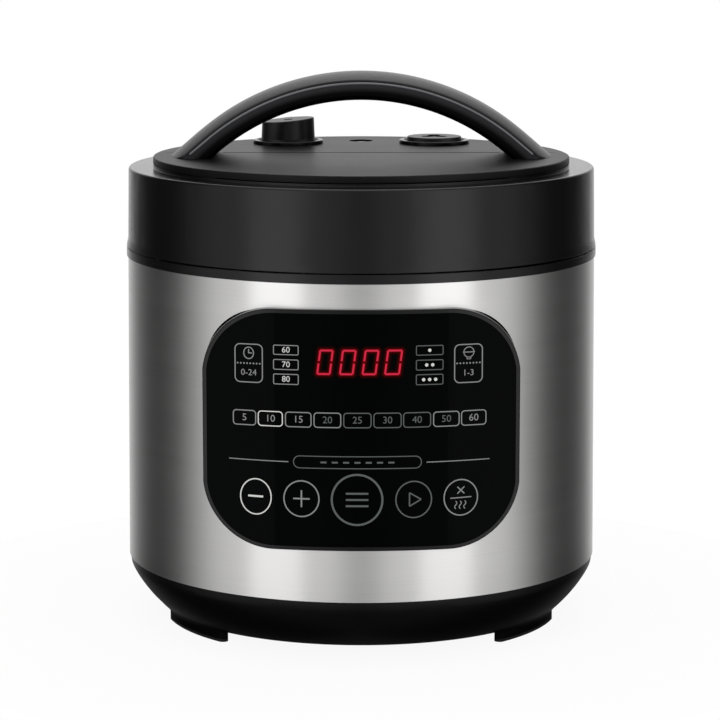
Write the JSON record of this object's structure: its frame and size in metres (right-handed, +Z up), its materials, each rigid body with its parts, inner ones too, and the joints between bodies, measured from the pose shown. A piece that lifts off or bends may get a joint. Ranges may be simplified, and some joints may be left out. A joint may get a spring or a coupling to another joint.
{
  "type": "electric pressure cooker",
  "caption": "Round countertop pressure cooker with a brushed jacket, a curved touch panel, a lift-out pot and a twist-lock lid with an arch handle.",
  "frame": {"origin": "on the cooker's upright axis, in the plane of the surface that it stands on", "axes": "+Z up along the axis; -Y towards the front with the touch panel; +X to the right seen from the front"},
  "size_m": [0.284, 0.3103, 0.3306],
  "materials": {
    "base_plastic": "gloss",
    "satin_plastic": "satin",
    "gloss_plastic": "gloss",
    "panel_gloss": "gloss",
    "foot_rubber": "matte",
    "jacket_steel": "vertical brushing",
    "vessel_steel": "satin",
    "spring_steel": "satin",
    "zinc": "plated",
    "pot_aluminium": "coated",
    "cast_aluminium": "cast",
    "ceramic": "matte",
    "switch_plastic": "matte",
    "board": "satin",
    "display": "satin",
    "pin_brass": "satin",
    "clear_plastic": "clear",
    "silicone": "satin"
  },
  "bodies": {
    "cooker": {"base_shell": "base_plastic", "bottom_plate": "base_plastic", "foot_pads": "foot_rubber", "base_screws": "zinc", "pressure_spring_plate": "spring_steel", "bar_screws": "zinc", "pressure_switch": "switch_plastic", "thermal_fuse": "zinc", "power_board": "board", "steel_shell": "jacket_steel", "upper_ring": "satin_plastic", "drain_spout": "satin_plastic", "outer_pot": "vessel_steel", "outer_pot_screws": "zinc", "heating_plate": "cast_aluminium", "heater_terminals": "ceramic", "sensor_spring": "spring_steel", "panel_bezel": "satin_plastic", "panel_glass": "panel_gloss", "control_board": "board", "display_module": "display", "power_inlet": "satin_plastic", "inlet_pins": "pin_brass", "inlet_screws": "zinc", "drip_rail": "satin_plastic"},
    "pot": {"inner_pot": "pot_aluminium"},
    "sensor": {"sensor_cap": "cast_aluminium"},
    "cup": {"drip_cup": "clear_plastic"},
    "lid_seal": {"sealing_ring": "silicone", "seal_rack": "vessel_steel"},
    "lid": {"lid_cover": "satin_plastic", "lid_deck": "satin_plastic", "steel_lid": "vessel_steel", "lid_screws": "zinc", "handle_top": "gloss_plastic", "handle_grip": "satin_plastic", "handle_screws": "zinc", "valve_pipe": "vessel_steel", "valve_nut": "vessel_steel", "filter_cap": "vessel_steel", "valve_collar": "satin_plastic", "float_seat": "vessel_steel", "button_collar": "satin_plastic", "button_spring": "spring_steel", "poppet_seat": "vessel_steel"},
    "exhaust_weight": {"valve_weight": "zinc"},
    "exhaust_knob": {"valve_cap": "gloss_plastic"},
    "float": {"float_pin": "zinc", "float_gasket": "silicone"},
    "button": {"release_button": "gloss_plastic", "release_poppet": "vessel_steel"}
  },
  "joints": [
    {"name": "lid_lift", "type": "slide", "parent": "cooker", "child": "lid_seal", "axis": [0, 0, 1], "range_m": [0, 0.34]},
    {"name": "lid_twist", "type": "hinge", "parent": "lid_seal", "child": "lid", "pos_m": [0, 0, 0.2214], "axis": [0, 0, 1], "range_deg": [-30, 0]},
    {"name": "pot_lift", "type": "slide", "parent": "cooker", "child": "pot", "axis": [0, 0, 1], "range_m": [0, 0.17]},
    {"name": "valve_lift", "type": "slide", "parent": "lid", "child": "exhaust_weight", "axis": [0, 0, 1], "range_m": [0, 0.02]},
    {"name": "valve_turn", "type": "hinge", "parent": "exhaust_weight", "child": "exhaust_knob", "pos_m": [-0.046, 0.078, 0.29], "axis": [0, 0, 1], "range_deg": [-45, 45]},
    {"name": "float_rise", "type": "slide", "parent": "lid", "child": "float", "axis": [0, 0, 1], "range_m": [0, 0.005]},
    {"name": "button_press", "type": "slide", "parent": "lid", "child": "button", "axis": [0, 0, -1], "range_m": [0, 0.0035], "stiffness_N_per_m": 400, "springref_m": -0.003, "deforming": ["button_spring"]},
    {"name": "sensor_press", "type": "slide", "parent": "cooker", "child": "sensor", "axis": [0, 0, -1], "range_m": [0, 0.003], "stiffness_N_per_m": 300, "springref_m": -0.003, "deforming": ["sensor_spring"]},
    {"name": "drip_cup_slide", "type": "slide", "parent": "cooker", "child": "cup", "axis": [0, 1, 0], "range_m": [0, 0.05]}
  ],
  "couplings": [
    {"joint": "pot_lift", "follows": "lid_lift", "ratio": 0.5}
  ]
}
